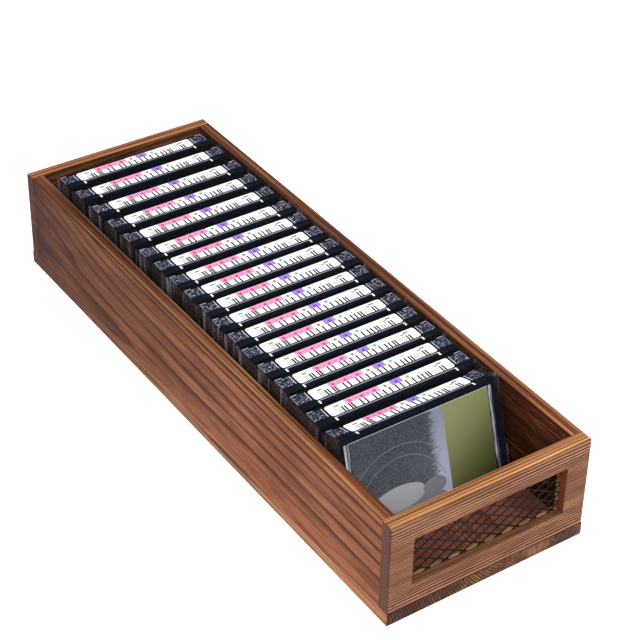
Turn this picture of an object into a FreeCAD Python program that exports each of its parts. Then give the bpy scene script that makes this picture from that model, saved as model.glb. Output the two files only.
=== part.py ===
import FreeCAD, Part
import math
import os

from FreeCAD import Vector

# An open drawer of scorched pine for compact cassettes: a base board, four panels and a
# wire mesh in the window of the front panel. The cassette cases stand in it on edge, with
# their spines up, and the front one leans back on the next.
# Millimetres. X is to the right, Y to the back and Z up. The origin is the middle of the
# underside of the base board.

# Packs of tape, on toothed cores, in a compact cassette
full_tape_radius = 24.0
short_tape_radius = 13.5
pack_room = 5.0
pack_gap = 0.05
reel_core_radius = 10.8
reel_bore_radius = 4.5
reel_tooth_height = 0.9
reel_tooth_width = 1.5
reel_tooth_count = 6
reel_side_gap = 0.3

# Compact cassette
cassette_wall = 1.1
tape_end_room = 3.85
tape_head_room = 3.9
tape_foot_room = 9.7
cassette_thickness = 8.7
cassette_gap = 0.1
cassette_lift = 0.5
head_edge_height = 16.0
head_edge_rise = 1.65
head_edge_foot = 70.0
head_edge_crest = 65.0
reel_window_radius = 4.9
reel_window_width = 24.0
reel_window_height = 9.0
pane_thickness = 0.8
roller_radius = 2.5
roller_pin_radius = 0.9
roller_inset = 8.7
screw_post = 5.0
screw_radius = 1.0
screw_head_radius = 1.7
screw_head_depth = 0.8
screw_length = 6.0
screw_clearance = 0.05
screw_side_count = 6

# Case for one cassette
case_wall = 1.2
case_end_room = 4.3
cover_room = 2.1
lid_gap = 0.25
spine_gap = 0.3
sill_height = 1.6
sill_gap = 0.15
spine_front_radius = 1.0
spine_back_radius = 1.5

# Ears of the case's lid, and the pins in them that the lid turns on
ear_height = 28.0
ear_heel = 3.0
ear_thickness = 1.1
ear_gap = 0.3
pivot_inset = 3.5
pivot_head_gap = 1.0
pin_radius = 1.0
pin_end_gap = 0.4
pin_clearance = 0.08
turn_clearance = 0.3

# Folded card in the lid, and the crossed blades that hold the cassette's reels
card_thickness = 0.25
card_end_gap = 0.3
card_slack = 0.05
card_past_pivot = 0.5
blade_thickness = 1.2
blade_length = 7.5
blade_gap = 0.3

# Boards of the drawer
drawer_length = 410.0
base_thickness = 8.8
panel_height = 61.2
panel_thickness = 8.1
side_thickness = 8.0
side_play = 5.0
board_edge_radius = 1.2
base_edge_radius = 0.8

# Window in the front panel, and the wire mesh sprung into a kerf round it
window_side_margin = 15.5
window_rail = 14.1
mesh_depth = 5.0
mesh_thickness = 0.5
mesh_gap = 0.15
kerf_depth = 1.6
mesh_pitch_x = 12.15
mesh_pitch_z = 6.75
mesh_start_shares = (0.67, 0.18)
mesh_hole_shares = ((0.87, 0.0), (0.46, 0.46), (0.0, 0.89))

# Flat brads that hold the boards
brad_width = 1.3
brad_thickness = 1.0
brad_head_width = 2.0
brad_head_depth = 0.5
brad_length = 18.0
brad_height_shares = (0.07, 0.51, 0.82)
base_brad_count = 4
base_brad_end_gap = 30.0

# The row of cases
rear_gap = 19.3
row_slack = 21.2
least_front_bay = 30.0
lean_angle = 17.0
lean_gap = 0.3
slack_shares = (0.16, 0.20, 0.156, 0.108, 0.156, 0.02, 0.07)
shift_shares = (-0.90, -0.78, -0.66, -0.64, -0.56, -0.54, -0.38, -0.36, -0.30,
                -0.24, -0.56, -0.50, -0.72, -0.74, -0.64, -0.82, -0.90, -0.68)

# Sizes that follow
overrun = case_wall
nearness = 0.01
reel_spacing = full_tape_radius + short_tape_radius + pack_room
reel_drop = cassette_wall + tape_head_room + full_tape_radius
cassette_length = reel_spacing + 2 * (full_tape_radius + tape_end_room + cassette_wall)
cassette_height = reel_drop + full_tape_radius + tape_foot_room + cassette_wall
blade_width = 2 * (reel_bore_radius - reel_tooth_height - blade_gap)
case_length = cassette_length + 2 * case_end_room
case_height = case_wall + cassette_lift + cassette_height + pivot_head_gap + pivot_inset
case_thickness = cassette_thickness + 2 * head_edge_rise + 2 * case_wall + cassette_gap + cover_room
pivot_boss_radius = pivot_inset - case_wall - spine_gap
pin_length = ear_gap + case_wall - pin_end_gap
inner_width = case_length + 2 * side_play
drawer_width = inner_width + 2 * side_thickness
inner_length = drawer_length - 2 * panel_thickness
drawer_height = base_thickness + panel_height
window_width = drawer_width - 2 * window_side_margin
window_height = panel_height - 2 * window_rail
front_y = -drawer_length / 2
back_y = drawer_length / 2
pivot_y = case_thickness / 2 - pivot_inset
pivot_z = case_height - pivot_inset
case_front_y = -case_thickness / 2
case_back_y = case_thickness / 2
core_front_y = case_front_y + case_wall + lid_gap
core_half_length = case_length / 2 - ear_thickness - ear_gap
corner_reach = math.sqrt(2) * (pivot_inset - spine_back_radius) + spine_back_radius
back_wall_top = pivot_z - corner_reach - turn_clearance
lean = math.radians(lean_angle)
lean_run = case_height * math.sin(lean) + case_thickness * math.cos(lean)
upright_room = inner_length - rear_gap - row_slack - lean_run - least_front_bay
upright_count = int(upright_room / case_thickness)
cassette_y = case_back_y - case_wall - cassette_gap - cassette_thickness / 2 - head_edge_rise
cassette_bottom = case_wall + cassette_lift
reel_z = cassette_bottom + cassette_height - reel_drop


def box(x0, x1, y0, y1, z0, z1):
    """A block between two corners."""
    return Part.makeBox(x1 - x0, y1 - y0, z1 - z0, Vector(x0, y0, z0))


def join(first, *others):
    """One solid out of several, with the seams between flat faces taken out."""
    return first.fuse(list(others)).removeSplitter()


def rounded(shape, radius, wanted):
    """Rounds the edges whose middle passes the test."""
    return shape.makeFillet(radius, [edge for edge in shape.Edges if wanted(edge.CenterOfMass)])


def at(value, place):
    """True where a coordinate lies on a named place."""
    return abs(value - place) < nearness


def plate(edges, x, thickness):
    """An outline in the YZ plane, made thick along X."""
    face = Part.Face(Part.Wire(Part.__sortEdges__(edges)))
    return face.extrude(Vector(thickness, 0, 0)).translated(Vector(x, 0, 0))


def chain(*points):
    """Straight edges through points given as (y, z)."""
    spots = [Vector(0, y, z) for y, z in points]
    return [Part.makeLine(a, b) for a, b in zip(spots, spots[1:])]


def arc(centre, radius, start, middle, end):
    """An arc in the YZ plane, by three directions in degrees from +Y."""
    spots = []
    for angle in (start, middle, end):
        turn = math.radians(angle)
        spots.append(Vector(0, centre[0] + radius * math.cos(turn), centre[1] + radius * math.sin(turn)))
    return Part.Arc(*spots).toShape()


# Cassette case

def ear(x, thickness, gap, opens):
    """The side wall of a lid, or the recess for it with a gap all round.

    Its low back corner is round on a case that opens, and cut straight on one that stays shut.
    """
    low = case_height - ear_height - gap
    radius = case_thickness - ear_heel
    heel_y = case_front_y + ear_heel
    edges = chain((heel_y, low), (case_front_y, low), (case_front_y, case_height),
                  (case_back_y, case_height), (case_back_y, low + radius))
    if opens:
        edges.append(arc((heel_y, low + radius), radius, 0, -45, -90))
    else:
        edges += chain((case_back_y, low + radius), (heel_y, low))
    return plate(edges, x, thickness)


def core_profile(x, thickness, opens):
    """The side of the case's base: the top back corner of one that opens is round about the pivot."""
    boss_back = pivot_y + pivot_boss_radius
    top = pivot_z + pivot_boss_radius
    edges = chain((pivot_y, top), (core_front_y, top), (core_front_y, sill_height),
                  (case_front_y, sill_height), (case_front_y, 0), (case_back_y, 0),
                  (case_back_y, back_wall_top), (boss_back, back_wall_top), (boss_back, pivot_z))
    if opens:
        edges.append(arc((pivot_y, pivot_z), pivot_boss_radius, 0, 45, 90))
    else:
        edges += chain((boss_back, pivot_z), (pivot_y, top))
    return plate(edges, x, thickness)


def case_base(opens):
    """The base of a case, with the room inside left solid."""
    core = core_profile(-core_half_length, 2 * core_half_length, opens)
    skin = case_length / 2 - core_half_length
    skins = []
    for x in (-case_length / 2, core_half_length):
        skins.append(core_profile(x, skin, opens).cut(ear(x, skin, ear_gap, opens)))
    return join(core, *skins)


def case_lid(opens):
    """Front wall, spine wall and two ears in one clear moulding."""
    half = case_length / 2
    low = sill_height + sill_gap
    front = box(-half, half, case_front_y, case_front_y + case_wall, low, case_height)
    spine = box(-half, half, case_front_y, case_back_y, case_height - case_wall, case_height)
    ears = [ear(x, ear_thickness, 0, opens) for x in (-half, half - ear_thickness)]
    block = box(-half, half, case_front_y, case_back_y, low, case_height)
    block = rounded(block, spine_back_radius, lambda p: at(p.y, case_back_y) and at(p.z, case_height))
    block = rounded(block, spine_front_radius, lambda p: at(p.y, case_front_y) and at(p.z, case_height))
    return join(front, spine, *ears).common(block).removeSplitter()


def open_case_base():
    """The base as a tray, with pin holes and the crossed blades for the reels."""
    inner_half = core_half_length - case_wall
    hollow = box(-inner_half, inner_half, case_front_y, case_back_y - case_wall, case_wall, case_height)
    tray = case_base(True).cut(hollow)
    hole_radius = pin_radius + pin_clearance
    for x in (-case_length / 2, inner_half - overrun):
        reach = case_length / 2 - inner_half + overrun
        tray = tray.cut(Part.makeCylinder(hole_radius, reach, Vector(x, pivot_y, pivot_z), Vector(1, 0, 0)))
    back = case_back_y - case_wall
    blades = []
    for x in (-reel_spacing / 2, reel_spacing / 2):
        for wide, tall in ((blade_width, blade_thickness), (blade_thickness, blade_width)):
            blades.append(box(x - wide / 2, x + wide / 2, back - blade_length, back,
                              reel_z - tall / 2, reel_z + tall / 2))
    return join(tray, *blades)


def open_case_lid():
    """The same lid with its two pins."""
    inner = case_length / 2 - ear_thickness
    pins = []
    for x in (-inner, inner - pin_length):
        pins.append(Part.makeCylinder(pin_radius, pin_length, Vector(x, pivot_y, pivot_z), Vector(1, 0, 0)))
    return case_lid(True).fuse(pins)


def cover_card():
    """The folded card: a front panel and a spine panel behind the lid's walls."""
    half = core_half_length - case_wall - card_end_gap
    front_y = case_front_y + case_wall + card_slack
    top = case_height - case_wall - card_slack
    back_y = pivot_y + card_past_pivot
    front = box(-half, half, front_y, front_y + card_thickness, case_wall + card_slack, top)
    spine = box(-half, half, front_y, back_y, top - card_thickness, top)
    return join(front, spine)


# Compact cassette

def cassette_outline(side):
    """One half's outer block with the raised head edge. Side is -1 for the front, 1 for the back."""
    half = cassette_length / 2
    depth = cassette_thickness / 2
    top = cassette_bottom + cassette_height
    foot = top - head_edge_height
    y_out = cassette_y + side * depth
    block = box(-half, half, min(cassette_y, y_out), max(cassette_y, y_out), cassette_bottom, top)
    corners = [(-head_edge_crest / 2, foot), (head_edge_crest / 2, foot),
               (head_edge_foot / 2, top), (-head_edge_foot / 2, top)]
    spots = [Vector(x, y_out, z) for x, z in corners]
    ridge = Part.Face(Part.makePolygon(spots + spots[:1])).extrude(Vector(0, side * head_edge_rise, 0))
    return join(block, ridge)


def screw_places():
    """The four corners where the halves are screwed together."""
    x = cassette_length / 2 - screw_post / 2
    low = cassette_bottom + screw_post / 2
    high = cassette_bottom + cassette_height - screw_post / 2
    return [(sx * x, z) for sx in (-1, 1) for z in (low, high)]


def cassette_half(side):
    """A half shell with corner posts, reel holes, a window and screw holes."""
    half = cassette_length / 2
    shell = cassette_outline(side)
    depth = cassette_thickness / 2 - cassette_wall
    y_floor = cassette_y + side * depth
    low = cassette_bottom + cassette_wall
    high = cassette_bottom + cassette_height - cassette_wall
    room = box(-half + cassette_wall, half - cassette_wall, min(cassette_y, y_floor),
               max(cassette_y, y_floor), low, high)
    for x, z in screw_places():
        room = room.cut(box(x - screw_post / 2, x + screw_post / 2, cassette_y - cassette_thickness,
                            cassette_y + cassette_thickness, z - screw_post / 2, z + screw_post / 2))
    shell = shell.cut(room)
    start = cassette_y - cassette_thickness
    end = cassette_y + cassette_thickness
    for x in (-reel_spacing / 2, reel_spacing / 2):
        shell = shell.cut(Part.makeCylinder(reel_window_radius, 2 * cassette_thickness,
                                            Vector(x, start, reel_z), Vector(0, 1, 0)))
    shell = shell.cut(box(-reel_window_width / 2, reel_window_width / 2, start, end,
                          reel_z - reel_window_height / 2, reel_z + reel_window_height / 2))
    for x, z in screw_places():
        shell = shell.cut(screw(x, z, screw_clearance))
    if side > 0:
        pins = [roller_post(x, roller_pin_radius, 2 * depth) for x in roller_places()]
        shell = join(shell, *pins)
    return shell


def roller_places():
    """The two rollers in the corners of the head edge."""
    return [side * (cassette_length / 2 - roller_inset) for side in (-1, 1)]


def roller_post(x, radius, width):
    """A cylinder on a roller's axis, across the middle of the cassette."""
    z = cassette_bottom + cassette_height - cassette_wall - roller_radius - reel_side_gap
    return Part.makeCylinder(radius, width, Vector(x, cassette_y - width / 2, z), Vector(0, 1, 0))


def roller(x):
    """A roller that turns on its pin."""
    width = cassette_thickness - 2 * cassette_wall - 2 * reel_side_gap
    bore = roller_post(x, roller_pin_radius + pin_clearance, width)
    return roller_post(x, roller_radius, width).cut(bore)


def window_panes():
    """The two clear panes over the window, one in each half."""
    panes = []
    half = reel_window_width / 2 - pack_gap
    tall = reel_window_height / 2 - pack_gap
    for side in (-1, 1):
        outer = cassette_y + side * (cassette_thickness / 2 - pack_gap)
        inner = outer - side * pane_thickness
        panes.append(box(-half, half, min(outer, inner), max(outer, inner), reel_z - tall, reel_z + tall))
    return panes


def screw(x, z, gap):
    """A plain prism of a screw from the back, or the hole for it with a gap all round."""
    solids = []
    for radius, depth in ((screw_radius, screw_length + gap), (screw_head_radius, screw_head_depth)):
        spots = []
        for number in range(screw_side_count):
            turn = 2 * math.pi * number / screw_side_count
            spots.append(Vector(x + (radius + gap) * math.cos(turn), cassette_y + cassette_thickness / 2,
                                z + (radius + gap) * math.sin(turn)))
        solids.append(Part.Face(Part.makePolygon(spots + spots[:1])).extrude(Vector(0, -depth, 0)))
    return join(*solids)


def reel_ring(x, outer_radius, inner_radius):
    """A ring on a reel's axis, between the two halves."""
    width = cassette_thickness - 2 * cassette_wall - 2 * reel_side_gap
    start = Vector(x, cassette_y - width / 2, reel_z)
    along = Vector(0, 1, 0)
    ring = Part.makeCylinder(outer_radius, width, start, along)
    return ring.cut(Part.makeCylinder(inner_radius, width, start, along))


def reel_core(x):
    """A core with six teeth in its bore."""
    ring = reel_ring(x, reel_core_radius, reel_bore_radius)
    width = cassette_thickness - 2 * cassette_wall - 2 * reel_side_gap
    tooth = box(-reel_tooth_width / 2, reel_tooth_width / 2, 0, width,
                reel_bore_radius - reel_tooth_height, (reel_bore_radius + reel_core_radius) / 2)
    teeth = []
    for number in range(reel_tooth_count):
        one = tooth.copy()
        one.rotate(Vector(0, 0, 0), Vector(0, 1, 0), number * 360 / reel_tooth_count)
        teeth.append(one.translated(Vector(x, cassette_y - width / 2, reel_z)))
    return join(ring, *teeth)


# Places of the cases

def row_places():
    """The middle of each upright case, from the back, as (x, y)."""
    back_of_row = back_y - panel_thickness - rear_gap
    spare = 1 - sum(slack_shares)
    rest_share = spare / max(1, upright_count - 1 - len(slack_shares))
    places = []
    y = back_of_row - case_thickness / 2
    for number in range(upright_count):
        places.append((side_play * shift_shares[number % len(shift_shares)], y))
        share = slack_shares[number] if number < len(slack_shares) else rest_share
        y -= case_thickness + row_slack * share
    return places


def lean_place(shape):
    """Leans a piece of the front case back until its spine rests on the case behind."""
    x_shift = side_play * shift_shares[upright_count % len(shift_shares)]
    last_y = row_places()[-1][1]
    rest_y = last_y - case_thickness / 2 - lean_gap
    leant = shape.copy()
    leant.rotate(Vector(0, 0, 0), Vector(1, 0, 0), -lean_angle)
    top_back_y = case_back_y * math.cos(lean) + case_height * math.sin(lean)
    lowest_z = -case_back_y * math.sin(lean)
    return leant.translated(Vector(x_shift, rest_y - top_back_y, base_thickness - lowest_z))


# Boards of the drawer

def brad():
    """A flat brad with a T head, driven along +Z from the origin."""
    head = box(-brad_head_width / 2, brad_head_width / 2, -brad_thickness / 2, brad_thickness / 2,
               0, brad_head_depth)
    shank = box(-brad_width / 2, brad_width / 2, -brad_thickness / 2, brad_thickness / 2, 0, brad_length)
    return join(head, shank)


def end_brads(y, direction):
    """Brads through the front or back panel into the ends of the side panels."""
    x = drawer_width / 2 - side_thickness / 2
    brads = []
    for side in (-1, 1):
        for share in brad_height_shares:
            one = brad()
            one.rotate(Vector(0, 0, 0), Vector(1, 0, 0), -90 * direction)
            brads.append(one.translated(Vector(side * x, y, base_thickness + share * panel_height)))
    return brads


def base_brads():
    """Brads up through the base board into the panels."""
    brads = []
    run = inner_length - 2 * base_brad_end_gap
    step = run / (base_brad_count - 1)
    for x in (-drawer_width / 2 + side_thickness / 2, drawer_width / 2 - side_thickness / 2):
        for number in range(base_brad_count):
            y = -run / 2 + number * step
            one = brad()
            one.rotate(Vector(0, 0, 0), Vector(0, 0, 1), 90)
            brads.append(one.translated(Vector(x, y, 0)))
    for y in (front_y + panel_thickness / 2, back_y - panel_thickness / 2):
        for x in (-inner_width / 4, inner_width / 4):
            brads.append(brad().translated(Vector(x, y, 0)))
    return brads


def base_board():
    """The board under all four panels."""
    half = drawer_width / 2
    board = box(-half, half, front_y, back_y, 0, base_thickness)
    board = rounded(board, base_edge_radius, lambda p: at(p.z, 0))
    return board.cut(base_brads())


def side_panel(side):
    """A long panel between the front and the back panel."""
    outer = side * drawer_width / 2
    inner = side * inner_width / 2
    board = box(min(outer, inner), max(outer, inner), front_y + panel_thickness, back_y - panel_thickness,
                base_thickness, drawer_height)
    board = rounded(board, board_edge_radius, lambda p: at(p.x, outer) and at(p.z, drawer_height))
    return board.cut(end_brads(front_y, 1) + end_brads(back_y, -1) + base_brads())


def end_panel(y_outer, direction):
    """A short panel over the ends of the side panels, with its outer edges rounded."""
    half = drawer_width / 2
    y_inner = y_outer + direction * panel_thickness
    board = box(-half, half, min(y_outer, y_inner), max(y_outer, y_inner), base_thickness, drawer_height)

    def wanted(p):
        return [at(p.y, y_outer), at(abs(p.x), half), at(p.z, drawer_height)].count(True) == 2

    return rounded(board, board_edge_radius, wanted)


def back_panel():
    """The plain back panel."""
    return end_panel(back_y, -1).cut(end_brads(back_y, -1) + base_brads())


def front_panel():
    """The front panel with its window and the kerf that the mesh sits in."""
    half = window_width / 2
    low = base_thickness + window_rail
    high = drawer_height - window_rail
    window = box(-half, half, front_y - overrun, front_y + panel_thickness + overrun, low, high)
    kerf_y = front_y + mesh_depth
    kerf = box(-half - kerf_depth, half + kerf_depth, kerf_y, kerf_y + mesh_thickness + mesh_gap,
               low - kerf_depth, high + kerf_depth)
    board = end_panel(front_y, 1).cut([window, kerf])
    return board.cut(end_brads(front_y, 1) + base_brads())


def clip_to_window(points, half, low, high):
    """Cuts an outline of (x, z) points to the window, one side at a time."""
    sides = ((0, -half, 1), (0, half, -1), (1, low, 1), (1, high, -1))
    for axis, limit, sign in sides:
        kept = []
        for a, b in zip(points, points[1:] + points[:1]):
            inside_a = sign * (a[axis] - limit) >= 0
            inside_b = sign * (b[axis] - limit) >= 0
            if inside_a:
                kept.append(a)
            if inside_a != inside_b:
                share = (limit - a[axis]) / (b[axis] - a[axis])
                kept.append((a[0] + share * (b[0] - a[0]), a[1] + share * (b[1] - a[1])))
        points = kept
    return points


def mesh_hole(x, z):
    """An eye-shaped hole's outline about its middle, from the shares of half a pitch."""
    quarter = [(across * mesh_pitch_x / 2, up * mesh_pitch_z / 2) for across, up in mesh_hole_shares]
    upper = quarter + [(-dx, dz) for dx, dz in reversed(quarter[:-1])]
    lower = [(dx, -dz) for dx, dz in reversed(upper[1:-1])]
    return [(x + dx, z + dz) for dx, dz in upper + lower]


def window_mesh():
    """A flat net of staggered long eyes: one face with holes, made thick, with a plain edge in the kerf."""
    half = window_width / 2
    low = base_thickness + window_rail
    high = drawer_height - window_rail
    edge = kerf_depth - mesh_gap
    hidden = edge / 2
    rim = [(-half - edge, low - edge), (half + edge, low - edge),
           (half + edge, high + edge), (-half - edge, high + edge)]
    start_x = -half + (mesh_start_shares[0] - 1) * mesh_pitch_x
    start_z = low + (mesh_start_shares[1] - 1) * mesh_pitch_z
    columns = math.ceil(2 * window_width / mesh_pitch_x) + 4
    rows = math.ceil(2 * window_height / mesh_pitch_z) + 4
    holes = []
    for column in range(columns):
        for row in range(column % 2, rows, 2):
            hole = mesh_hole(start_x + column * mesh_pitch_x / 2, start_z + row * mesh_pitch_z / 2)
            hole = clip_to_window(hole, half + hidden, low - hidden, high + hidden)
            if len(hole) > 2:
                holes.append(hole)
    y = front_y + mesh_depth + mesh_gap / 2
    wires = []
    for outline in [rim] + holes:
        spots = [Vector(x, y, z) for x, z in outline]
        wires.append(Part.makePolygon(spots + spots[:1]))
    net = Part.Face(wires, "Part::FaceMakerBullseye")
    return net.extrude(Vector(0, mesh_thickness, 0))


def pieces():
    """Every sub-part by its name."""
    parts = {
        "base_board": base_board(),
        "left_side_panel": side_panel(-1),
        "right_side_panel": side_panel(1),
        "back_panel": back_panel(),
        "front_panel": front_panel(),
        "window_mesh": window_mesh(),
        "panel_brads": Part.makeCompound(end_brads(front_y, 1) + end_brads(back_y, -1)),
        "base_brads": Part.makeCompound(base_brads()),
    }
    base = case_base(False)
    lid = case_lid(False)
    for number, (x, y) in enumerate(row_places(), 1):
        place = Vector(x, y, base_thickness)
        parts["case_%02d_base" % number] = base.translated(place)
        parts["case_%02d_lid" % number] = lid.translated(place)
    screws = [screw(x, z, 0) for x, z in screw_places()]
    front_case = {
        "front_case_base": open_case_base(),
        "front_case_lid": open_case_lid(),
        "front_case_card": cover_card(),
        "cassette_front_half": cassette_half(-1),
        "cassette_back_half": cassette_half(1),
        "cassette_left_core": reel_core(-reel_spacing / 2),
        "cassette_right_core": reel_core(reel_spacing / 2),
        "cassette_full_tape": reel_ring(-reel_spacing / 2, full_tape_radius, reel_core_radius + pack_gap),
        "cassette_short_tape": reel_ring(reel_spacing / 2, short_tape_radius, reel_core_radius + pack_gap),
        "cassette_rollers": Part.makeCompound([roller(x) for x in roller_places()]),
        "cassette_panes": Part.makeCompound(window_panes()),
        "cassette_screws": Part.makeCompound(screws),
    }
    for name, shape in front_case.items():
        parts[name] = lean_place(shape)
    return parts


os.makedirs("parts", exist_ok=True)
for name, shape in pieces().items():
    shape.exportStep("parts/%s.step" % name)
    bounds = shape.BoundBox
    print("%-20s %d solid(s) %9.1f mm3  y %.1f..%.1f  z %.1f..%.1f" % (
        name, len(shape.Solids), shape.Volume, bounds.YMin, bounds.YMax, bounds.ZMin, bounds.ZMax))
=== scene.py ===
import math
from collections import namedtuple

import bmesh
import bpy
from mathutils import Euler, Matrix, Vector


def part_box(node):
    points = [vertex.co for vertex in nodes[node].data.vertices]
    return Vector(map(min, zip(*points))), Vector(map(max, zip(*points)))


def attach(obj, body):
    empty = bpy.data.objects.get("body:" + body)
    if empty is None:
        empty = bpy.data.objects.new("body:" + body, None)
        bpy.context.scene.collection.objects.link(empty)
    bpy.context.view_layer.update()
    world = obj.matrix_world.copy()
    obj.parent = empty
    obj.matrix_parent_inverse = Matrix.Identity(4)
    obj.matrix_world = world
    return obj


# An open drawer of scorched pine for compact cassettes, with a wire mesh in its front window.
# Metres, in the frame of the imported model: X to the right, Y to the back, Z up.

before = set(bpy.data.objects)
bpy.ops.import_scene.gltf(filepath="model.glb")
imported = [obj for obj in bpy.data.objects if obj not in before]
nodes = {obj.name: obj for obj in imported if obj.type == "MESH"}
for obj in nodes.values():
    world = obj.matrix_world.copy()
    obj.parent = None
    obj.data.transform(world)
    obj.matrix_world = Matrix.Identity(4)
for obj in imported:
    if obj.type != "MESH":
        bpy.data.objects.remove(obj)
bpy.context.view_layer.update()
mm = 0.001

# Camera, fitted to the photograph's edges: its place, its own axes and its lens
camera_place = (-510.55 * mm, -776.96 * mm, 728.58 * mm)
camera_right = (0.82935044, -0.55845621, 0.01745042)
camera_up = (0.31737748, 0.49657459, 0.80788936)
camera_back = (-0.45983626, -0.66448502, 0.58907578)
camera_lens = 106.8
camera_sensor = 36.0
camera_near = 50.0 * mm

# Studio: the white floor, and how strongly floor and world glow
floor_half_size = 6.0
floor_depth = 0.2 * mm
floor_grey = (0.82, 0.82, 0.82, 1.0)
floor_glow = 0.56
world_lighting = 0.55
world_seen = 1.0
white = (1.0, 1.0, 1.0, 1.0)

# Square lamps, all turned to one point: name, place, width and watts
lamp_aim = (0.0, 0.0, 0.03)
lamps = (("key", (-0.9, -1.1, 1.5), 0.9, 28.0),
         ("top", (0.1, -0.2, 1.9), 1.2, 9.0),
         ("fill", (1.4, -0.7, 1.1), 1.0, 10.0),
         ("back", (-1.5, 0.9, 1.0), 0.8, 6.0))

# Spine of a case: places from the middle of the spine, across it and along it
spine_top = 70.0 * mm
card_half_length = 53.0 * mm
card_top = 68.72 * mm
card_thickness = 0.18 * mm
card_front = -6.9 * mm
card_back = 7.3 * mm

# Print on a spine: its layers' step, and the dark pads at both ends with painted highlights along their
# inner edges, and hems
print_lift = 0.015 * mm
pad_outer = 52.8 * mm
pad_inner = 44.0 * mm
pad_front = -1.5 * mm
pad_back = 6.1 * mm
pad_highlight_width = 0.5 * mm
hem_width = 0.35 * mm

# White label with round corners between the pads
label_half_length = 42.0 * mm
label_front = -2.85 * mm
label_back = 6.25 * mm
label_corner = 1.6 * mm
corner_steps = 5

# White marks and a thin line in front of the label, dark tabs outside it, and painted highlights on the back
# edge
mark_outer = 41.5 * mm
mark_inner = 40.5 * mm
mark_front = -6.9 * mm
mark_back = -4.1 * mm
line_front = -4.5 * mm
line_back = -3.7 * mm
tab_outer = 46.6 * mm
tab_inner = 41.9 * mm
tab_front = -6.8 * mm
tab_back = -2.6 * mm
tab_corner = 1.2 * mm
painted_glint_outer = 52.6 * mm
painted_glint_inner = 48.4 * mm
painted_glint_front = 6.75 * mm
painted_glint_back = 7.15 * mm

# Coloured bars on the label, as shares of its length (start, end) and of its depth
pink_shares = (0.155, 0.43)
purple_shares = (0.52, 0.612)
mint_shares = (0.628, 0.69)
bar_shares = (0.54, 0.99)

# Blots and strokes on the bars: shares of their middles, and of their depth
rose_blot_shares = (0.188, 0.287, 0.386)
rose_stroke_shares = (0.241, 0.335)
violet_blot_shares = (0.567,)
red_blot_shares = (0.475,)
green_blot_shares = (0.659,)
blot_width = 1.9 * mm
blot_shares = (0.62, 0.86)
stroke_width = 0.45 * mm

# Ticks along the label's front, bold and faint, and faint marks by their shares of length and depth
tick_shares = (0.108, 0.128, 0.165, 0.183, 0.252, 0.288, 0.355, 0.388, 0.437, 0.486, 0.536, 0.577, 0.623,
               0.676, 0.722, 0.753, 0.786, 0.806, 0.905, 0.927)
faint_tick_shares = (0.066, 0.08, 0.094, 0.196, 0.419, 0.837, 0.855, 0.873)
tick_heights = (0.0, 0.54)
tick_width = 1.1 * mm
faint_tick_width = 0.6 * mm
faint_mark_shares = ((0.06, 0.1, 0.64, 0.8), (0.745, 0.757, 0.64, 0.78), (0.87, 0.9, 0.6, 0.74),
                     (0.9, 0.94, 0.7, 0.88))

# Cases: how many stand upright, and the front case's foot, its lean and the fit of its spine's print
upright_count = 17
front_case_place = (-3.4 * mm, -154.50 * mm, 11.227 * mm)
lean = math.radians(17.0)
front_label_shrink = 0.965
front_label_stretch = 1.13
front_label_shift = (-0.9 * mm, 0.45 * mm, 0.025 * mm)

# Front cover: a slate field that frays into lavender, an olive field, and a few pebbles with ripples
cover_left = -47.7 * mm
cover_right = 46.3 * mm
cover_low = 1.8 * mm
cover_high = 64.8 * mm
# Painted highlight: a pale strip along the cover's top edge, where the clear lid's front edge catches the
# light
cover_edge_highlight = 0.3 * mm
cover_face = -7.07 * mm
cover_step = 0.006 * mm
cover_split = 14.8 * mm
# Painted highlights: streaked pale bands beside the cover, where the clear wall's ends catch the light
painted_glass_bands = ((-51.2 * mm, -48.0 * mm), (46.7 * mm, 49.4 * mm))
pebbles = (("stone", -16.0 * mm, 10.5 * mm, 28.0 * mm, 8.4 * mm),
           ("pale", -21.0 * mm, 21.0 * mm, 18.0 * mm, 7.6 * mm),
           ("stone", 3.5 * mm, 20.0 * mm, 8.0 * mm, 5.0 * mm))
ripple_centre = (-18.0 * mm, 14.0 * mm)
ripple_radii = (31.0 * mm, 38.0 * mm)
ripple_width = 0.4 * mm
ripple_limit = 12.0 * mm
round_steps = 48

# From here on places and lengths are in millimetres, as the materials read them

# Cover: from where to where its slate turns to lavender, and how widely that edge frays
stripe_edge = (-0.5, 6.0)
stripe_fray = 17.0

# Inside of the drawer, where its walls' top edges begin, and how its walls darken downwards, as painted
# shade over darker burnt wood
inner_half_width = 59.7
inner_half_length = 197.1
rim_start = (69.0, 69.6)
inner_shade_depths = (66.0, 22.0)

# Front window, where its cut begins behind the panel's face, and where the mesh's kerf lies
window_half_width = 52.05
window_half_height = 16.55
window_middle = 39.4
window_cut = (-204.9, -204.0)
window_kerf = (-199.5, -199.2)

# Front panel: turns of a wave that is finest at one height, where it grows strong, and its rings' pitches
ridge_middle = 39.0
ridge_spread = 0.0353
ridge_turns = 22.6
ridge_top = (55.0, 62.0)
ridge_foot = (23.0, 15.0)
ridge_sides = (30.0, 62.0)
end_ring_pitch = 1.5
end_ring_slope = 0.9
end_ring_bend = (30.0, 20.0)
top_line_pitch = 2.3

# Base board: the seam between its two pieces, a dark patch on the right one, its ends' dark left, and
# painted shade towards the back of its long sides
glue_seam = (28.3, 28.7)
patch_start = (38.0, 50.0)
patch_end = (70.0, 62.0)
base_dark_left = (8.0, -60.0)
base_flank_shade = (230.0, -60.0)

# Side panels: painted shade towards the back, its waver, and the top edges' painted shade at the back and
# darker outer side
back_shade_waver = 90.0
back_shade = (-130.0, 190.0)
back_shade_last = (150.0, 210.0)
rim_back_shade = (-200.0, 10.0)
rim_outer = (65.4, 66.9)

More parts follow.
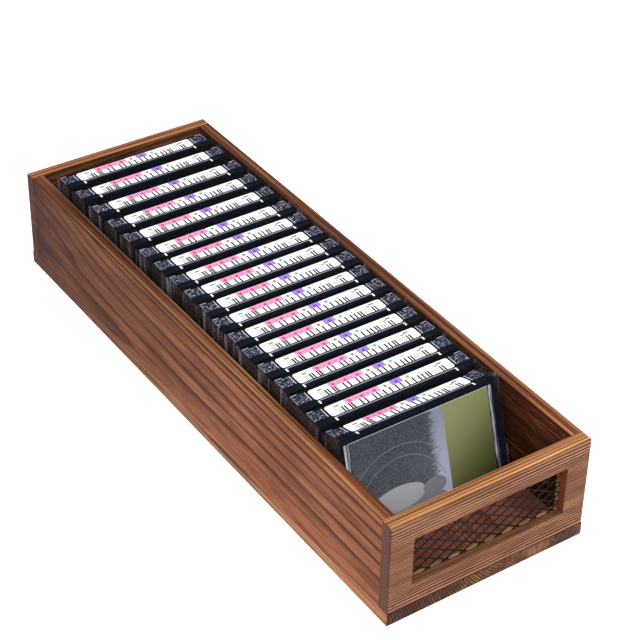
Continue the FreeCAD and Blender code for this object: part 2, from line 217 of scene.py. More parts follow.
# Scales of the wood's noises, per millimetre along the grain, across the board and through it
slow_scales = (0.006, 0.03, 0.03)
small_scales = (0.03, 0.25, 0.25)
ring_patch_scales = (0.02, 0.15, 0.15)
fibre_scales = (0.05, 1.1, 1.1)
streak_scales = (0.012, 0.45, 0.45)
blotch_scales = (0.016, 0.08, 0.08)
rim_scales = (0.005, 0.05, 0.42)
rim_line_scales = (0.01, 0.1, 1.3)
scratch_scales = (0.03, 1.6, 1.6)
back_shade_scales = (0.02, 0.08, 0.08)
dark_patch_scales = (0.05, 0.12, 0.3)
ridge_scales = (0.008, 0.05, 0.05)
top_line_scales = (0.01, 0.05, 0.05)

# How far a board's seed moves its noises, in millimetres
seed_steps = (311.0, 97.0, 53.0)

# Axes of the frame, and sockets of the colour mix node
X, Y, Z = 0, 1, 2
mix_share, mix_first, mix_second, mix_result = 0, 6, 7, 2

# A place where a board's rings rise: along the board, how far, where across it and where no more
Lift = namedtuple("Lift", "start end rise low high ease gone")

# A stretch along a board over which its pith comes nearer
Close = namedtuple("Close", "start end amount")


class Graph:
    """The nodes of a new material or world, with short calls for those that they share."""

    def __init__(self, owner, shader="Principled BSDF"):
        owner.use_nodes = True
        self.owner = owner
        self.tree = owner.node_tree
        self.shader = self.tree.nodes[shader]

    def put(self, socket, value):
        """Links an output to a socket, or sets the socket's own value."""
        if isinstance(value, bpy.types.NodeSocket):
            self.tree.links.new(value, socket)
        else:
            socket.default_value = value

    def add(self, kind, *inputs, **settings):
        """A node with its settings and its first inputs in order."""
        node = self.tree.nodes.new(kind)
        for key, value in settings.items():
            setattr(node, key, value)
        for socket, value in zip(node.inputs, inputs):
            self.put(socket, value)
        return node

    def fill(self, node, **values):
        """A node with inputs set by name, where an underscore stands for a blank."""
        for key, value in values.items():
            self.put(node.inputs[key.replace("_", " ")], value)
        return node

    def math(self, operation, a, b=0.0):
        return self.add("ShaderNodeMath", a, b, operation=operation).outputs[0]

    def chain(self, operation, values):
        """One operation over all the values, from the left."""
        result = values[0]
        for value in values[1:]:
            result = self.math(operation, result, value)
        return result

    def times(self, *values):
        return self.chain("MULTIPLY", values)

    def plus(self, *values):
        return self.chain("ADD", values)

    def most(self, *values):
        return self.chain("MAXIMUM", values)

    def minus(self, a, b):
        return self.math("SUBTRACT", a, b)

    def size(self, value):
        return self.math("ABSOLUTE", value)

    def between(self, low, high, share):
        """low at a share of 0, and high at a share of 1."""
        return self.plus(low, self.times(share, high - low))

    def level(self, value, low, high):
        """0 at low, 1 at high, and smooth between."""
        node = self.add("ShaderNodeMapRange", value, low, high, interpolation_type="SMOOTHSTEP")
        return node.outputs["Result"]

    def zigzag(self, value, pitch):
        """From 0 up to a half and back to 0, over each pitch."""
        return self.math("PINGPONG", self.math("DIVIDE", value, pitch), 0.5)

    def stretch(self, point, scales):
        """A point times a scale for each axis, or times one for all."""
        if isinstance(scales, float):
            scales = (scales, scales, scales)
        return self.add("ShaderNodeVectorMath", point, scales, operation="MULTIPLY").outputs[0]

    def place(self):
        """The point in the frame, in millimetres."""
        return self.stretch(self.add("ShaderNodeTexCoord").outputs["Object"], 1 / mm)

    def parts(self, point):
        return self.add("ShaderNodeSeparateXYZ", point).outputs[:3]

    def join(self, *parts):
        return self.add("ShaderNodeCombineXYZ", *parts).outputs[0]

    def normal(self):
        """The parts of the surface's normal."""
        return self.parts(self.add("ShaderNodeNewGeometry").outputs["Normal"])

    def noise(self, point, scales, detail=3.0, rough=0.55):
        node = self.fill(self.add("ShaderNodeTexNoise"), Vector=self.stretch(point, scales), Scale=1.0,
                         Detail=detail, Roughness=rough)
        return node.outputs["Fac"]

    def ramp(self, value, *stops):
        """A colour ramp from stops of (place, colour)."""
        node = self.add("ShaderNodeValToRGB", value)
        elements = node.color_ramp.elements
        while len(elements) < len(stops):
            elements.new(1.0)
        for element, (place, colour) in zip(elements, stops):
            element.position = place
            element.color = colour
        return node.outputs["Color"]

    def blend(self, first, second, *shares):
        """The first colour, and the second where the product of the shares is 1."""
        node = self.add("ShaderNodeMix", data_type="RGBA")
        self.put(node.inputs[mix_share], self.times(*shares))
        self.put(node.inputs[mix_first], first)
        self.put(node.inputs[mix_second], second)
        return node.outputs[mix_result]

    def bump(self, height, distance):
        node = self.fill(self.add("ShaderNodeBump"), Strength=1.0, Distance=distance, Height=height)
        return node.outputs["Normal"]

    def finish(self, **values):
        """Sets the shader's inputs, and gives the material or world."""
        self.fill(self.shader, **values)
        return self.owner


def new_graph(name):
    return Graph(bpy.data.materials.new(name))


def srgb(red, green, blue):
    """A colour given as it shows on a screen, 0 to 255, as the renderer's own values."""
    def one(value):
        value /= 255
        return value / 12.92 if value <= 0.04045 else ((value + 0.055) / 1.055) ** 2.4
    return (one(red), one(green), one(blue), 1.0)


soot = srgb(44, 26, 25)


class Board:
    """A sawn board: growth rings about a pith, cut by the board's faces, and fibres along it.

    Its axes are those of the frame along the grain, across the board and through it. The pith lies
    across and through it, and tilt slopes it along the grain. The rings have a pitch and a phase, waver
    by wave, and end in late wood over a share of about line.
    """

    def __init__(self, name, axes, pith, pitch, seed, wave, line, phase=0.0, tilt=0.0, close=None, lifts=()):
        self.graph = graph = new_graph(name)
        self.point = graph.parts(graph.place())
        self.along, self.across, self.deep = (self.point[axis] for axis in axes)
        self.grain = graph.add("ShaderNodeVectorMath", graph.join(self.along, self.across, self.deep),
                               tuple(seed * step for step in seed_steps), operation="ADD").outputs[0]
        slow = self.waver(slow_scales, wave * 6.0)
        small = self.waver(small_scales, wave * 0.9)
        radius = graph.plus(self.radius(pith, tilt, close, lifts), slow, small)
        self.late = self.late_wood(graph.plus(graph.math("DIVIDE", radius, pitch), phase), line)
        self.fibre = graph.noise(self.grain, fibre_scales, 5.0, 0.7)
        self.streak = graph.noise(self.grain, streak_scales, 4.0, 0.65)
        self.blotch = graph.noise(self.grain, blotch_scales, 4.0, 0.65)
        self.normals = graph.normal()
        self.facing = [graph.size(normal) for normal in self.normals]

    def waver(self, scales, size):
        """A noise about zero, in millimetres."""
        graph = self.graph
        return graph.times(graph.minus(graph.noise(self.grain, scales, 2.0), 0.5), size)

    def radius(self, pith, tilt, close, lifts):
        """How far the point is from the pith."""
        graph = self.graph
        across = graph.minus(graph.minus(self.across, pith[0]), graph.times(self.along, tilt))
        for lift in lifts:
            rise = graph.times(graph.level(self.along, lift.start, lift.end),
                               graph.level(self.across, lift.low, lift.high),
                               graph.level(self.across, lift.gone, lift.ease), lift.rise)
            across = graph.minus(across, rise)
        deep = graph.minus(self.deep, pith[1])
        if close:
            nearer = graph.times(graph.level(self.along, close.start, close.end), close.amount)
            deep = graph.plus(deep, nearer)
        return graph.math("SQRT", graph.plus(graph.times(across, across), graph.times(deep, deep)))

    def late_wood(self, ring, line):
        """The dark line at the end of each ring, deeper in some rings and in patches."""
        graph = self.graph
        part = graph.math("FRACT", ring)
        rise = graph.level(part, 1 - line * 2.4, 1 - line * 0.5)
        fall = graph.level(part, 1 - line * 0.25, 1.0)
        number = graph.join(graph.math("FLOOR", ring))
        weight = graph.level(graph.noise(number, 1.0, 0.0), 0.35, 0.6)
        patch = graph.level(graph.noise(self.grain, ring_patch_scales, 2.0), 0.3, 0.55)
        return graph.times(rise, graph.minus(1.0, fall), graph.between(0.5, 1.0, weight),
                           graph.between(0.7, 1.0, patch))

    def square(self, axis, low=0.6, high=0.9):
        """1 on the faces square to an axis."""
        return self.graph.level(self.facing[axis], low, high)

    def upward(self, low=0.5, high=0.85):
        """1 on the faces that look up."""
        return self.graph.level(self.normals[Z], low, high)

    def tone(self, light, mid, dark, streak=0.5, depth=1.0):
        """The board's colour: light and mid by patches, darker fibres and streaks, dark late wood."""
        graph = self.graph
        tone = graph.blend(mid, light, graph.level(self.blotch, 0.35, 0.65))
        tone = graph.blend(tone, dark, graph.level(self.streak, 0.54, 0.34), streak)
        tone = graph.blend(tone, dark, graph.level(self.fibre, 0.56, 0.36), 0.35)
        return graph.blend(tone, dark, self.late, depth)

    def darken_turned_edges(self, tone, share):
        """Darker where the rounded edges turn."""
        turned = self.graph.level(self.graph.most(*self.facing), 0.985, 0.85)
        return self.graph.blend(tone, soot, turned, share)

    def end(self, tone, share, axis):
        """End grain, which drinks more oil."""
        return self.graph.blend(tone, soot, self.square(axis), share)

    def rim(self, tone, red, mid, gold):
        """The top edge: long golden and red-brown streaks."""
        graph = self.graph
        streak = graph.noise(self.grain, rim_scales, 3.0, 0.6)
        colour = graph.ramp(streak, (0.35, red), (0.5, mid), (0.63, gold))
        thin = graph.noise(self.grain, rim_line_scales, 3.0, 0.6)
        colour = graph.blend(colour, red, graph.level(thin, 0.5, 0.36), 0.7)
        return graph.blend(tone, colour, self.upward(), graph.level(self.point[Z], *rim_start))

    def inside(self, tone, dark, share, scratch=None):
        """Darkens the faces that look into the drawer, the deeper the more, partly painted shade and partly
        darker burnt wood, with a few pale scratches.
        """
        graph = self.graph
        x, y, z = self.point
        # Painted shade, with darker burnt wood: the deeper in the drawer, the darker
        shade_and_char = graph.blend(tone, dark, graph.between(share, 1.0, graph.level(z, *inner_shade_depths)))
        if scratch:
            thin = graph.noise(self.grain, scratch_scales, 2.0, 0.5)
            patch = graph.level(self.blotch, 0.36, 0.52)
            shade_and_char = graph.blend(shade_and_char, scratch, graph.level(thin, 0.6, 0.67), patch, 0.8)
        across = graph.math("LESS_THAN", graph.size(x), inner_half_width)
        along = graph.math("LESS_THAN", graph.size(y), inner_half_length)
        return graph.blend(tone, shade_and_char, across, along, graph.level(z, *reversed(rim_start)))

    def relief(self):
        """Fibres and late wood that stand out."""
        return self.graph.plus(self.graph.times(self.fibre, 0.35), self.graph.times(self.late, 0.65))

    def finish(self, tone, height, depth):
        """The material, with a relief of a depth in millimetres."""
        graph = self.graph
        return graph.finish(Base_Color=tone, Roughness=graph.between(0.36, 0.64, self.fibre),
                            Normal=graph.bump(height, depth * mm), Specular_IOR_Level=0.1, IOR=1.22)


def side_board(name, pith, seed, phase, close, lifts):
    """A side panel: redder and darker towards the back, as painted shade."""
    board = Board(name, (Y, Z, X), pith, pitch=7.7, seed=seed, wave=0.45, line=0.19, phase=phase,
                  close=close, lifts=lifts)
    graph = board.graph
    tone = board.tone(light=srgb(162, 102, 72), mid=srgb(128, 77, 53), dark=srgb(48, 27, 24))
    # Painted shade: redder and darker towards the back
    shade_place = graph.plus(board.along, board.waver(back_shade_scales, back_shade_waver))
    tone = graph.blend(tone, srgb(62, 33, 26), graph.level(shade_place, *back_shade), 0.56)
    tone = graph.blend(tone, srgb(42, 24, 26), graph.level(shade_place, *back_shade_last), 0.8)
    tone = board.end(tone, 0.3, Y)
    tone = board.inside(tone, dark=srgb(48, 24, 15), share=0.84, scratch=srgb(178, 102, 64))
    tone = board.rim(tone, red=srgb(70, 36, 24), mid=srgb(132, 80, 52), gold=srgb(196, 138, 92))
    top = board.upward()
    # Painted shade on the top edge towards the back
    tone = graph.blend(tone, srgb(56, 32, 27), graph.level(board.along, *rim_back_shade), top, 0.56)
    tone = graph.blend(tone, soot, graph.level(graph.size(board.deep), *rim_outer), top, 0.6)
    return board.finish(board.darken_turned_edges(tone, 0.5), board.relief(), 0.2)


def back_board():
    """The back panel: broad dark streaks on a tan ground."""
    board = Board("back_board", (X, Z, Y), pith=(20.0, 230.0), pitch=4.4, seed=5.0, wave=0.7, line=0.34,
                  tilt=0.035)
    tone = board.tone(light=srgb(166, 108, 72), mid=srgb(132, 82, 56), dark=soot, streak=0.7)
    tone = board.end(tone, 0.6, X)
    tone = board.inside(tone, dark=srgb(30, 14, 10), share=0.5, scratch=srgb(150, 88, 58))
    tone = board.rim(tone, red=srgb(84, 48, 32), mid=srgb(136, 86, 56), gold=srgb(176, 122, 80))
    return board.finish(board.darken_turned_edges(tone, 0.5), board.relief(), 0.25)


def base_right(board):
    """The base board's right piece: smooth, with a dark patch."""
    graph = board.graph
    tone = graph.blend(srgb(116, 80, 66), srgb(156, 112, 86), graph.level(board.streak, 0.35, 0.6))
    place = graph.plus(board.across, board.waver(dark_patch_scales, 16.0))
    start, end = graph.level(place, *patch_start), graph.level(place, *patch_end)
    return graph.blend(tone, srgb(62, 42, 44), start, end, 0.75)


def base_flank(board):
    """The base board's long sides: streaked, and darker at the back as painted shade."""
    graph = board.graph
    streaked = graph.blend(srgb(96, 60, 44), srgb(178, 124, 88), graph.level(board.streak, 0.38, 0.6))
    # Painted shade towards the back of the long sides
    return graph.blend(srgb(84, 52, 42), streaked, graph.level(board.along, *base_flank_shade))


def base_wood():
    """The base board, glued up of two: rings across its ends, and a lighter piece on the right."""
    board = Board("base_wood", (Y, X, Z), pith=(18.5, 26.0), pitch=1.9, seed=7.0, wave=0.2, line=0.34)
    graph = board.graph
    tone = board.tone(light=srgb(168, 116, 84), mid=srgb(124, 82, 60), dark=srgb(46, 30, 27), streak=0.7)
    tone = graph.blend(tone, base_right(board), graph.level(board.across, *glue_seam))
    left = graph.between(0.2, 0.7, graph.level(board.across, *base_dark_left))
    tone = graph.blend(tone, srgb(40, 28, 28), board.square(Y), left)
    tone = graph.blend(tone, srgb(118, 62, 50), board.upward(0.5, 0.9), 0.6)
    tone = graph.blend(tone, base_flank(board), board.square(X))
    return board.finish(board.darken_turned_edges(tone, 0.4), board.relief(), 0.3)


def front_ridges(board):
    """Ridges along the front panel's face, wide and deep near its top and foot, fine between."""
    graph = board.graph
    height = graph.plus(board.across, board.waver(ridge_scales, 1.6))
    turn = graph.math("ARCTANGENT", graph.times(graph.minus(height, ridge_middle), ridge_spread))
    hollow = graph.level(graph.math("SINE", graph.times(turn, ridge_turns * math.tau)), 0.35, -0.7)
    strong = graph.most(graph.level(board.across, *ridge_top), graph.level(board.across, *ridge_foot),
                        graph.times(graph.level(graph.size(board.along), *ridge_sides), 0.6))
    patch = graph.level(board.streak, 0.36, 0.58)
    return graph.times(hollow, graph.between(0.72, 1.0, strong), graph.between(0.6, 1.0, patch),
                       board.square(Y, 0.4, 0.7))


def front_ends(board):
    """The rings cut across the front panel's ends, which slope near its foot."""
    graph = board.graph
    x, y, z = board.point
    sloped = graph.minus(y, graph.times(z, end_ring_slope))
    place = graph.blend(y, sloped, graph.level(z, *end_ring_bend))
    stripes = graph.level(graph.zigzag(place, end_ring_pitch), 0.32, 0.12)
    return graph.blend(srgb(112, 75, 63), srgb(40, 25, 24), stripes, 0.75)


def window_wood(board):
    """The cut wood round the window: redder on its ends, and tan behind the mesh, partly raw cut wood and
    partly painted light, with painted shade on the darker wood in front.
    """
    graph = board.graph
    wood = graph.blend(srgb(78, 50, 34), srgb(118, 82, 54), graph.level(board.fibre, 0.35, 0.65))
    wood = graph.blend(wood, srgb(104, 56, 32), board.square(X, 0.5, 0.8))
    # Painted light: the ledge behind the mesh lighter and tan, partly raw cut wood; in front of it painted
    # shade
    lit_tan = graph.blend(srgb(84, 58, 42), srgb(172, 130, 94), graph.level(board.fibre, 0.38, 0.62))
    return graph.blend(wood, lit_tan, graph.level(board.point[Y], *window_kerf))


def front_board():
    """The front panel: ridges on its face, rings on its ends and top edge, and its window's wood."""
    board = Board("front_board", (X, Z, Y), pith=(400.0, -500.0), pitch=2.0, seed=3.0, wave=0.06, line=0.26)
    graph = board.graph
    x, y, z = board.point
    tone = board.tone(light=srgb(192, 138, 106), mid=srgb(160, 108, 82), dark=srgb(70, 42, 32), streak=0.4,
                      depth=0.3)
    ridges = front_ridges(board)
    tone = graph.blend(tone, srgb(48, 28, 22), ridges)
    tone = graph.blend(tone, front_ends(board), board.square(X))
    wide = graph.math("LESS_THAN", graph.size(x), window_half_width)
    high = graph.math("LESS_THAN", graph.size(graph.minus(z, window_middle)), window_half_height)
    tone = graph.blend(tone, window_wood(board), wide, high, graph.level(y, *window_cut))
    tone = board.inside(tone, dark=srgb(40, 20, 14), share=0.4)
    tone = board.rim(tone, red=srgb(96, 56, 34), mid=srgb(172, 118, 74), gold=srgb(214, 158, 108))
    rings = graph.zigzag(graph.plus(y, board.waver(top_line_scales, 1.2)), top_line_pitch)
    tone = graph.blend(tone, srgb(88, 54, 36), graph.level(rings, 0.24, 0.06), board.upward(0.6, 0.9), 0.85)
    relief = graph.minus(graph.times(board.fibre, 0.3), ridges)
    return board.finish(board.darken_turned_edges(tone, 0.35), relief, 0.3)


def plain(name, colour, rough, shade=0.8, **values):
    """A moulded or printed surface: its colour with a faint mottle, and a fine tooth."""
    graph = new_graph(name)
    dim = tuple(part * shade for part in colour[:3]) + (1.0,)
    tone = graph.blend(colour, dim, graph.noise(graph.place(), 0.4))
    tooth = graph.bump(graph.noise(graph.place(), 2.0, 2.0), 0.01 * mm)
    values = {"Specular_IOR_Level": 0.3, "IOR": 1.3, **values}
    return graph.finish(Base_Color=tone, Roughness=rough, Normal=tooth, **values)


def matt(name, colour, shade=0.9):
    """Printed paper or card behind the clear wall."""
    return plain(name, colour, 0.5, shade, Specular_IOR_Level=0.0)


def clear_plastic():
    """Clear polystyrene: it mirrors where it slopes away from the eye, and its ends are painted a smoky
    brown-grey as a painted reflection, with pale streaks of painted highlight.
    """
    graph = new_graph("clear_plastic")
    slope = graph.add("ShaderNodeLayerWeight", 0.5).outputs["Facing"]
    mirror = graph.times(graph.math("POWER", graph.level(slope, 0.42, 1.0), 3.0), 0.5)
    ends = graph.level(graph.size(graph.normal()[X]), 0.5, 0.9)
    # Painted highlights: pale streaks on the ends, over a painted reflection in smoky brown-grey
    painted_streak = graph.level(graph.noise(graph.place(), (0.1, 0.45, 0.02), 2.0, 0.5), 0.55, 0.7)
    painted_end_reflection = graph.blend(srgb(52, 47, 46), srgb(132, 130, 144), painted_streak)
    graph.owner.blend_method = "BLEND"
    return graph.finish(Base_Color=graph.blend(srgb(74, 75, 79), painted_end_reflection, ends), Roughness=0.12,
                        Alpha=graph.blend(mirror, graph.between(0.4, 0.65, painted_streak), ends),
                        Metallic=graph.minus(1.0, ends))


def streaked(name, scales, rough, *stops, **values):
    """A surface with a ramp of colours over one noise."""
    graph = new_graph(name)
    streak = graph.noise(graph.place(), scales, 3.0, rough)
    return graph.finish(Base_Color=graph.ramp(streak, *stops), **values)


def mesh_steel():
    """Dull expanded steel with browned patches."""
    graph = new_graph("mesh_steel")
    patch = graph.noise(graph.place(), 0.15)
    tone = graph.ramp(patch, (0.35, srgb(12, 11, 14)), (0.6, srgb(22, 19, 22)), (0.75, srgb(44, 32, 28)))
    return graph.finish(Base_Color=tone, Roughness=graph.between(0.4, 0.7, patch), Specular_IOR_Level=0.1)


def cover_field():
    """The cover's slate field, brushed, that frays into a lavender stripe on its right."""
    graph = new_graph("cover_field")
    point = graph.place()
    x, y, z = graph.parts(point)
    cloud = graph.level(graph.noise(point, 0.05), 0.3, 0.7)
    slate = graph.blend(srgb(48, 51, 58), srgb(88, 93, 103), cloud)
    slate = graph.blend(slate, srgb(54, 57, 65), graph.level(z, 28.0, 70.0))
    strokes = graph.level(graph.noise(point, (0.7, 0.7, 1.5), 5.0, 0.75), 0.42, 0.78)
    slate = graph.blend(slate, srgb(120, 124, 136), strokes, 0.7)
    stripe = graph.blend(srgb(128, 131, 148), srgb(162, 164, 184), graph.level(z, 76.0, 30.0))
    fray = graph.minus(graph.noise(point, (0.2, 0.7, 0.8), 5.0, 0.75), 0.5)
    edge = graph.plus(x, graph.times(fray, stripe_fray))
    tone = graph.blend(slate, stripe, graph.level(edge, *stripe_edge))
    return graph.finish(Base_Color=tone, Roughness=0.45, Specular_IOR_Level=0.1)


def cover_olive():
    """The cover's olive field, paler at its top left."""
    graph = new_graph("cover_olive")
    point = graph.place()
    x, y, z = graph.parts(point)
    slope = graph.minus(z, graph.times(x, 0.7))
    tone = graph.blend(srgb(50, 52, 20), srgb(134, 137, 94), graph.level(slope, -12.0, 66.0))
    tone = graph.blend(tone, srgb(90, 96, 50), graph.noise(point, 0.8), 0.12)
    return graph.finish(Base_Color=tone, Roughness=0.45, Specular_IOR_Level=0.1)


def build_materials():
    """Every material by its name."""
    left_lifts = (Lift(start=-60.0, end=100.0, rise=-3.5, low=18.0, high=25.0, ease=32.0, gone=42.0),
                  Lift(start=85.0, end=205.0, rise=17.0, low=22.0, high=52.0, ease=90.0, gone=100.0))
    right_lifts = (Lift(start=-200.0, end=120.0, rise=-12.0, low=20.0, high=60.0, ease=90.0, gone=100.0),)
    return {
        "left": side_board("left_side_board", pith=(14.5, -47.5), seed=1.0, phase=-0.24,
                           close=Close(start=-45.0, end=205.0, amount=6.4), lifts=left_lifts),
        "right": side_board("right_side_board", pith=(20.0, 90.0), seed=2.0, phase=0.1,
                            close=Close(start=-160.0, end=240.0, amount=-9.0), lifts=right_lifts),
        "back": back_board(),
        "base": base_wood(),
        "front": front_board(),
        "mesh": mesh_steel(),
        "steel": plain("brad_steel", srgb(104, 84, 72), 0.4, Metallic=0.6),
        "black": plain("black_plastic", srgb(24, 26, 34), 0.2, Specular_IOR_Level=0.25, IOR=1.2),
        "clear": clear_plastic(),
        # Painted highlight: dark and pale streaks that stand in for light in the clear wall's ends
        "painted_glass": streaked("painted_edge_glass", (0.6, 0.02, 0.02), 0.7, (0.42, srgb(34, 30, 36)),
                          (0.5, srgb(84, 80, 94)), (0.6, srgb(204, 200, 216)),
                          Roughness=0.3, Specular_IOR_Level=0.2),
        # The pads' dark colour with pale speckles, painted highlights on their texture
        "pad": streaked("speckled_pad_and_glints", 0.75, 0.85, (0.44, srgb(22, 24, 33)), (0.52, srgb(50, 54, 68)),
                        (0.58, srgb(96, 100, 120)), (0.66, srgb(186, 190, 208)),
                        Roughness=0.5, Specular_IOR_Level=0.0),
        # A painted reflection: the card is lighter than black card, standing in for the clear wall's sheen
        # on it
        "card": matt("card_black", srgb(21, 24, 31)),
        "tab": matt("card_tab", srgb(25, 28, 37)),
        "paper": matt("label_paper", srgb(252, 252, 252), 0.96),
        "pink": matt("label_pink", srgb(244, 146, 188)),
        "rose": matt("label_rose", srgb(206, 72, 120)),
        "purple": matt("label_purple", srgb(160, 122, 214)),
        "violet": matt("label_violet", srgb(112, 74, 170)),
        "ink": matt("label_ink", srgb(5, 5, 8)),
        "grey": matt("label_grey", srgb(138, 140, 147)),
        "mint": matt("label_mint", srgb(226, 240, 233)),
        "green": matt("label_green", srgb(112, 174, 144)),
        "red": matt("label_red", srgb(176, 104, 104)),
        # Painted highlight: the pale colour of the pads' inner edges, the spines' back edge glints and the
        # cover's top edge
        "highlight_line": matt("spine_painted_highlight", srgb(190, 192, 204)),
        "line": matt("spine_line", srgb(132, 135, 148)),
        "shell": plain("cassette_shell", srgb(40, 40, 44), 0.4),
        "core": plain("cassette_core", srgb(225, 225, 220), 0.4),
        "tape": plain("cassette_tape", srgb(70, 48, 38), 0.3),
        "field": cover_field(),
        "olive": cover_olive(),
        "pale": matt("cover_pale", srgb(158, 159, 166)),
        "stone": matt("cover_stone", srgb(120, 121, 128)),
    }


materials = build_materials()


def coat(name, material):
    """Gives a CAD node its material."""
    slots = nodes[name].data.materials
    slots.clear()
    slots.append(materials[material])


def placed(name, data):
    """A new object in the scene."""
    made = bpy.data.objects.new(name, data)
    bpy.context.scene.collection.objects.link(made)
    return made


def piece(name, mesh, body, material):
    """A new piece that rides on a CAD body."""
    mesh.materials.append(materials[material])
    made = placed(name, mesh)
    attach(made, body)


def to_mesh(name, bm):
    """A mesh from the edited one, which is freed."""
    mesh = bpy.data.meshes.new(name)
    bm.to_mesh(mesh)
    bm.free()
    return mesh


def add_sheet(bm, corners):
    """A flat sheet between its corners."""
    bm.faces.new([bm.verts.new(corner) for corner in corners])


def sheets(name, outlines):
    """A mesh of flat sheets, one to an outline of corners."""
    bm = bmesh.new()
    for corners in outlines:
        add_sheet(bm, corners)
    return to_mesh(name, bm)


def lying(outline, height):
    """Corners of an outline (x, y) at a height."""
    return [(x, y, height) for x, y in outline]


def standing(outline, depth):
    """Corners of an outline (x, z) at a place along Y."""
    return [(x, depth, z) for x, z in outline]


def oblong(x0, x1, y0, y1):
    return [(x0, y0), (x1, y0), (x1, y1), (x0, y1)]


def rounded_oblong(x0, x1, y0, y1, corner):
    """An oblong's outline with round corners."""
    points = []
    centres = ((x1 - corner, y0 + corner, -90), (x1 - corner, y1 - corner, 0),
               (x0 + corner, y1 - corner, 90), (x0 + corner, y0 + corner, 180))
    for cx, cy, start in centres:
        for step in range(corner_steps + 1):
            turn = math.radians(start + 90 * step / corner_steps)
            points.append((cx + corner * math.cos(turn), cy + corner * math.sin(turn)))
    return points


def both_ends(shape, inner, outer, *rest):
    """A shape at the left end of the spine, and the same at the right."""
    return [shape(-outer, -inner, *rest), shape(inner, outer, *rest)]


def label_at(share, height_share):
    """A place on the label by its shares."""
    x = -label_half_length + 2 * label_half_length * share
    y = label_front + (label_back - label_front) * height_share
    return x, y


def label_oblong(x_low, x_high, y_low, y_high):
    x0, y0 = label_at(x_low, y_low)
    x1, y1 = label_at(x_high, y_high)
    return oblong(x0, x1, y0, y1)


def upright_marks(middles, width, heights):
    """Oblongs of one width about their middles on the label."""
    half = width / (4 * label_half_length)
    return [label_oblong(middle - half, middle + half, *heights) for middle in middles]


def spine_prints():
    """The print on a spine: a list of (name, material, layer, outlines)."""
    label = rounded_oblong(-label_half_length, label_half_length, label_front, label_back, label_corner)
    return [
        ("label", "paper", 1, [label]),
        ("pads", "pad", 1, both_ends(oblong, pad_inner, pad_outer, pad_front, pad_back)),
        # Painted highlights: pale lines where the light catches the pads' inner edges
        ("pad_edge_highlights", "highlight_line", 1, both_ends(oblong, pad_inner - pad_highlight_width, pad_inner, pad_front, pad_back)),
        ("hems", "line", 2, both_ends(oblong, pad_outer - hem_width, pad_outer, pad_front, pad_back)),
        ("marks", "paper", 1, both_ends(oblong, mark_inner, mark_outer, mark_front, mark_back)),
        ("tabs", "tab", 1, both_ends(rounded_oblong, tab_inner, tab_outer, tab_front, tab_back, tab_corner)),
        # Painted highlights: pale strips where the clear wall's back edge catches the light
        ("painted_glints", "highlight_line", 1, both_ends(oblong, painted_glint_inner, painted_glint_outer, painted_glint_front, painted_glint_back)),
        ("line", "line", 1, [oblong(-mark_inner, mark_inner, line_front, line_back)]),
        ("pink", "pink", 2, [label_oblong(*pink_shares, *bar_shares)]),
        ("purple", "purple", 2, [label_oblong(*purple_shares, *bar_shares)]),
        ("mint", "mint", 2, [label_oblong(*mint_shares, *bar_shares)]),
        ("rose", "rose", 3, upright_marks(rose_blot_shares, blot_width, blot_shares)
         + upright_marks(rose_stroke_shares, stroke_width, blot_shares)),
        ("violet", "violet", 3, upright_marks(violet_blot_shares, blot_width, blot_shares)),
        ("red", "red", 2, upright_marks(red_blot_shares, blot_width, blot_shares)),
        ("green", "green", 3, upright_marks(green_blot_shares, blot_width, blot_shares)),
        ("ticks", "ink", 2, upright_marks(tick_shares, tick_width, tick_heights)),
        ("faint", "grey", 2, upright_marks(faint_tick_shares, faint_tick_width, tick_heights)
         + [label_oblong(*shares) for shares in faint_mark_shares]),
    ]


def case_middle(number):
    """The middle of an upright case's underside."""
    low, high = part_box("case_%02d_lid" % number)
    return Vector(((low[X] + high[X]) / 2, (low[Y] + high[Y]) / 2, high[Z] - spine_top))


def print_spine(label, body, turn):
    """Lays the spine's print in place."""
    for name, material, layer, outlines in spine_prints():
        name = "%s_%s" % (label, name)
        mesh = sheets(name, [lying(outline, card_top + layer * print_lift) for outline in outlines])
        mesh.transform(turn)
        piece(name, mesh, body, material)


def spine_card(label, body, place):
    """The folded card's spine behind the clear wall of a shut case."""
    bm = bmesh.new()
    outline = oblong(-card_half_length, card_half_length, card_front, card_back)
    add_sheet(bm, lying(outline, card_top - card_thickness))
    made = bmesh.ops.extrude_face_region(bm, geom=bm.faces[:])
    raised = [part for part in made["geom"] if isinstance(part, bmesh.types.BMVert)]
    bmesh.ops.translate(bm, verts=raised, vec=(0, 0, card_thickness))
    bmesh.ops.recalc_face_normals(bm, faces=bm.faces)
    mesh = to_mesh(label, bm)
    mesh.transform(Matrix.Translation(place))
    piece(label, mesh, body, "card")


def ellipse(x, z, across, up):
    """An ellipse's outline (x, z)."""
    turns = [math.tau * step / round_steps for step in range(round_steps)]
    return [(x + across * math.cos(turn), z + up * math.sin(turn)) for turn in turns]


def ripple(radius):
    """Outlines (x, z) of the short pieces of a thin arc on the cover."""
    def point(step, r):
        turn = math.pi * step / round_steps
        return ripple_centre[0] + r * math.cos(turn), ripple_centre[1] + r * math.sin(turn)

    outlines = []
    for step in range(round_steps):
        outline = [point(step, radius), point(step, radius + ripple_width),
                   point(step + 1, radius + ripple_width), point(step + 1, radius)]
        if all(cover_left < x < ripple_limit for x, z in outline):
            outlines.append(outline)
    return outlines


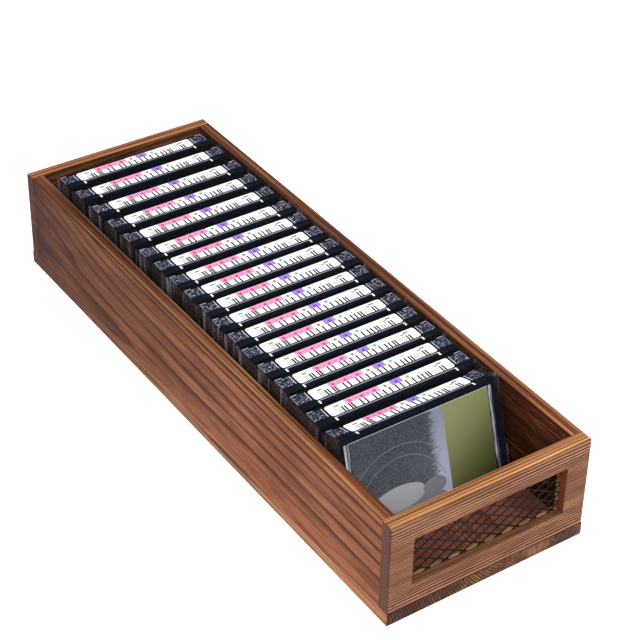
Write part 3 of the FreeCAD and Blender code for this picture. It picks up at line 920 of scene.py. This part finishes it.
def print_cover(turn):
    """The generic printed front of the card in the front case, and painted highlights of the clear wall's
    ends beside it.
    """
    cover_top = cover_high + cover_edge_highlight
    bands = [oblong(x0, x1, cover_low, cover_top) for x0, x1 in painted_glass_bands]
    ripples = [outline for radius in ripple_radii for outline in ripple(radius)]
    layers = [("cover_field", "field", 0, [oblong(cover_left, cover_split, cover_low, cover_high)]),
              ("cover_olive", "olive", 0, [oblong(cover_split, cover_right, cover_low, cover_high)]),
              # Painted highlight along the cover's top edge
              ("cover_edge_highlight", "highlight_line", 0, [oblong(cover_left, cover_right, cover_high, cover_top)]),
              # Painted highlights of the clear wall's ends
              ("cover_painted_glass", "painted_glass", 0, bands),
              ("cover_ripples", "stone", 1, ripples)]
    for number, (material, *place) in enumerate(pebbles, 1):
        layers.append(("cover_pebble_%d" % number, material, number, [ellipse(*place)]))
    for name, material, layer, outlines in layers:
        mesh = sheets(name, [standing(outline, cover_face - layer * cover_step) for outline in outlines])
        mesh.transform(turn)
        piece(name, mesh, "front_lid", material)


def dress_nodes():
    """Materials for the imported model's own pieces."""
    coats = {
        "base": ("base_board",), "left": ("left_side_panel",), "right": ("right_side_panel",),
        "back": ("back_panel",), "front": ("front_panel",), "mesh": ("window_mesh",),
        "steel": ("panel_brads", "base_brads", "cassette_screws"),
        "black": ("front_case_base",), "clear": ("front_case_lid", "cassette_panes"),
        "card": ("front_case_card",), "shell": ("cassette_front_half", "cassette_back_half"),
        "core": ("cassette_left_core", "cassette_right_core", "cassette_rollers"),
        "tape": ("cassette_full_tape", "cassette_short_tape"),
    }
    for material, names in coats.items():
        for name in names:
            coat(name, material)
    for name in nodes:
        if name.startswith("case_"):
            coat(name, "clear" if name.endswith("_lid") else "black")


def dress_cases():
    """Cards and their printed spines."""
    for number in range(1, upright_count + 1):
        body = "case_%02d" % number
        place = case_middle(number)
        spine_card("%s_card" % body, body, place)
        print_spine(body, body, Matrix.Translation(place))
    turn = Matrix.Translation(front_case_place) @ Euler((-lean, 0, 0)).to_matrix().to_4x4()
    print_cover(turn)
    stretch = Matrix.Diagonal((front_label_shrink, front_label_stretch, 1.0, 1.0))
    print_spine("front_case", "front_lid", turn @ Matrix.Translation(front_label_shift) @ stretch)


def seen(graph):
    """1 for what the eye sees directly, in a reflection or through plastic."""
    path = graph.add("ShaderNodeLightPath").outputs
    return graph.most(path["Is Camera Ray"], path["Is Glossy Ray"], path["Is Transmission Ray"])


def lay_floor():
    """A plain white floor that shades where the drawer stands."""
    outline = oblong(-floor_half_size, floor_half_size, -floor_half_size, floor_half_size)
    floor = placed("floor", sheets("floor", [lying(outline, -floor_depth)]))
    graph = new_graph("floor_white")
    floor.data.materials.append(graph.finish(Base_Color=floor_grey, Roughness=0.9, Emission_Color=white,
                                             Emission_Strength=graph.times(seen(graph), floor_glow)))


def light_up():
    """An even pale world, and large soft lamps on each side and above."""
    graph = Graph(bpy.data.worlds.new("studio"), "Background")
    strength = graph.between(world_lighting, world_seen, seen(graph))
    bpy.context.scene.world = graph.finish(Color=white, Strength=strength)
    for name, place, width, watts in lamps:
        data = bpy.data.lights.new(name, "AREA")
        data.size = width
        data.energy = watts
        lamp = placed(name, data)
        lamp.location = place
        lamp.rotation_euler = (Vector(lamp_aim) - Vector(place)).to_track_quat("-Z", "Y").to_euler()


def set_camera():
    """The camera at the photograph's place."""
    data = bpy.data.cameras.new("camera")
    data.lens = camera_lens
    data.sensor_width = camera_sensor
    data.sensor_height = camera_sensor
    data.clip_start = camera_near
    camera = placed("camera", data)
    axes = Matrix((camera_right, camera_up, camera_back)).transposed().to_4x4()
    camera.matrix_world = Matrix.Translation(camera_place) @ axes
    bpy.context.scene.camera = camera


set_camera()
dress_nodes()
dress_cases()
lay_floor()
light_up()
bpy.context.scene.view_settings.view_transform = "Standard"
